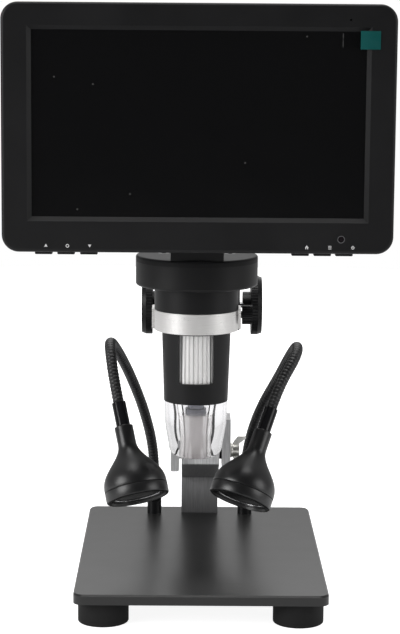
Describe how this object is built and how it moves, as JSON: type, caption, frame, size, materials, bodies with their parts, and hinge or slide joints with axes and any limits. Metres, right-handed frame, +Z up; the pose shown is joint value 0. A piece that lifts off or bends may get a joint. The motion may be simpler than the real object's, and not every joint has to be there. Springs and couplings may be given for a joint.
{
  "type": "lcd digital microscope",
  "caption": "Desk microscope: tilting flat monitor on a microscope tube with a clear snoot, held by a rack column on a flat base plate, with gooseneck lamps.",
  "frame": {"origin": "on the floor under the middle of the object's box: the optical axis in X, the middle of the base plate in Y", "axes": "+Z up, the monitor's screen faces -Y, +X is to the right of a person who looks at the screen"},
  "size_m": [0.182, 0.175, 0.296],
  "materials": {
    "black_plate": "black satin powder coat",
    "foot_rubber": "matt black rubber",
    "dark_screw": "blackened steel",
    "brushed_bar": "brushed grey steel",
    "black_anodised": "black anodised",
    "washer_black": "black nylon",
    "rack_steel": "bright steel",
    "screw_chrome": "bright nickel plate",
    "bush_brass": "plain brass",
    "ring_silver": "satin brushed aluminium",
    "head_black": "black fine satin plastic",
    "lens_black": "dark anodised",
    "lens_glass": "coated glass",
    "board_green": "green solder mask",
    "led_white": "white board with light chips",
    "clear_plastic": "clear acrylic",
    "case_black": "black satin moulded plastic",
    "receiver_dark": "dark window",
    "screen_glass": "dark screen cover",
    "panel_dark": "unlit panel",
    "film_teal": "teal film",
    "battery_silver": "foil pouch",
    "socket_steel": "plated steel",
    "gooseneck_black": "black sheathed gooseneck",
    "lamp_black": "black satin paint",
    "lamp_lens_clear": "clear lens"
  },
  "bodies": {
    "stand": {"base_plate": "black_plate", "rubber_feet": "foot_rubber", "plate_screws": "dark_screw", "foot_bar": "brushed_bar", "lamp_sockets": "black_anodised"},
    "column": {"friction_washers": "washer_black", "fork": "brushed_bar", "fork_screws": "dark_screw", "column": "black_anodised", "rack": "rack_steel"},
    "tilt_screw": {"pivot_screw": "screw_chrome", "wing_nut": "screw_chrome"},
    "carriage": {"carriage_body": "black_anodised", "back_plate": "black_anodised", "pinion_bushes": "bush_brass", "ring_arm": "ring_silver", "carriage_screws": "dark_screw"},
    "focus_knobs": {"pinion_shaft": "rack_steel", "focus_knob_left": "black_anodised", "focus_knob_right": "black_anodised"},
    "ring_clamp": {"ring_clamp_knob": "black_anodised"},
    "head": {"barrel": "head_black", "head_shell": "head_black", "head_lid": "head_black", "head_screws": "dark_screw", "neck_block": "head_black", "tube": "head_black", "led_ring": "led_white", "sensor_board": "board_green", "snoot": "clear_plastic"},
    "focus_wheel": {"focus_wheel": "ring_silver"},
    "lens": {"lens_barrel": "lens_black", "objective_lens": "lens_glass"},
    "monitor": {"bezel": "case_black", "receiver_window": "receiver_dark", "cover_glass": "screen_glass", "lcd_panel": "panel_dark", "film_tab": "film_teal", "rear_shell": "case_black", "shell_screws": "dark_screw", "hinge_pin": "rack_steel", "main_board": "board_green", "battery": "battery_silver", "side_sockets": "socket_steel", "button_board": "board_green"},
    "lamp_arm_left": {"gooseneck_left": "gooseneck_black"},
    "lamp_arm_right": {"gooseneck_right": "gooseneck_black"},
    "lamp_head_left": {"lamp_shade_left": "lamp_black", "lamp_rim_left": "lamp_black", "lamp_lens_left": "lamp_lens_clear"},
    "lamp_head_right": {"lamp_shade_right": "lamp_black", "lamp_rim_right": "lamp_black", "lamp_lens_right": "lamp_lens_clear"},
    "button_up": {"button_up": "case_black"},
    "button_ok": {"button_ok": "case_black"},
    "button_down": {"button_down": "case_black"},
    "button_home": {"button_home": "case_black"},
    "button_menu": {"button_menu": "case_black"},
    "button_power": {"button_power": "case_black"}
  },
  "joints": [
    {"name": "column_tilt", "type": "hinge", "parent": "stand", "child": "column", "pos_m": [0.003, 0.0325, 0.0616], "axis": [-1, 0, 0], "range_deg": [0, 20]},
    {"name": "tilt_screw_turn", "type": "hinge", "parent": "column", "child": "tilt_screw", "pos_m": [0.003, 0.0325, 0.0616], "axis": [1, 0, 0], "range_deg": [-90, 90]},
    {"name": "focus_slide", "type": "slide", "parent": "column", "child": "carriage", "axis": [0, 0, 1], "range_m": [-0.008, 0.022]},
    {"name": "focus_knob_turn", "type": "hinge", "parent": "carriage", "child": "focus_knobs", "pos_m": [0.003, 0.02085, 0.1414], "axis": [-1, 0, 0], "range_deg": [-92, 253]},
    {"name": "ring_clamp_turn", "type": "hinge", "parent": "carriage", "child": "ring_clamp", "pos_m": [0.0227, -0.026, 0.1433], "axis": [1, 0, 0], "range_deg": [-90, 90]},
    {"name": "head_turn", "type": "hinge", "parent": "carriage", "child": "head", "pos_m": [0, -0.0325, 0.142], "axis": [0, 0, 1], "range_deg": [-90, 90]},
    {"name": "focus_wheel_turn", "type": "hinge", "parent": "head", "child": "focus_wheel", "pos_m": [0, -0.0325, 0.124], "axis": [0, 0, 1], "range_deg": [-122, 122]},
    {"name": "lens_slide", "type": "slide", "parent": "head", "child": "lens", "axis": [0, 0, 1], "range_m": [-0.00315, 0.00315]},
    {"name": "monitor_tilt", "type": "hinge", "parent": "head", "child": "monitor", "pos_m": [0, -0.055, 0.198], "axis": [-1, 0, 0], "range_deg": [-5, 45]},
    {"name": "button_up_press", "type": "slide", "parent": "monitor", "child": "button_up", "axis": [0, 0, 1], "range_m": [0, 0.0008], "stiffness_N_per_m": 600, "springref_m": -0.0005},
    {"name": "button_ok_press", "type": "slide", "parent": "monitor", "child": "button_ok", "axis": [0, 0, 1], "range_m": [0, 0.0008], "stiffness_N_per_m": 600, "springref_m": -0.0005},
    {"name": "button_down_press", "type": "slide", "parent": "monitor", "child": "button_down", "axis": [0, 0, 1], "range_m": [0, 0.0008], "stiffness_N_per_m": 600, "springref_m": -0.0005},
    {"name": "button_home_press", "type": "slide", "parent": "monitor", "child": "button_home", "axis": [0, 0, 1], "range_m": [0, 0.0008], "stiffness_N_per_m": 600, "springref_m": -0.0005},
    {"name": "button_menu_press", "type": "slide", "parent": "monitor", "child": "button_menu", "axis": [0, 0, 1], "range_m": [0, 0.0008], "stiffness_N_per_m": 600, "springref_m": -0.0005},
    {"name": "button_power_press", "type": "slide", "parent": "monitor", "child": "button_power", "axis": [0, 0, 1], "range_m": [0, 0.0008], "stiffness_N_per_m": 600, "springref_m": -0.0005},
    {"name": "lamp_swing_left", "type": "hinge", "parent": "stand", "child": "lamp_arm_left", "pos_m": [-0.022, 0.0735, 0.027], "axis": [0, 0, -1], "range_deg": [-2.5, 40]},
    {"name": "lamp_aim_left", "type": "hinge", "parent": "lamp_arm_left", "child": "lamp_head_left", "pos_m": [-0.0387, -0.0225, 0.0977], "axis": [-1, 0, 0], "range_deg": [-20, 20]},
    {"name": "lamp_swing_right", "type": "hinge", "parent": "stand", "child": "lamp_arm_right", "pos_m": [0.028, 0.0735, 0.027], "axis": [0, 0, 1], "range_deg": [0, 40]},
    {"name": "lamp_aim_right", "type": "hinge", "parent": "lamp_arm_right", "child": "lamp_head_right", "pos_m": [0.038, -0.0225, 0.0952], "axis": [-1, 0, 0], "range_deg": [-20, 20]}
  ],
  "couplings": [
    {"joint": "focus_knob_turn", "follows": "focus_slide", "rad_per_m": 200},
    {"joint": "focus_wheel_turn", "follows": "lens_slide", "rad_per_m": 666.67}
  ]
}
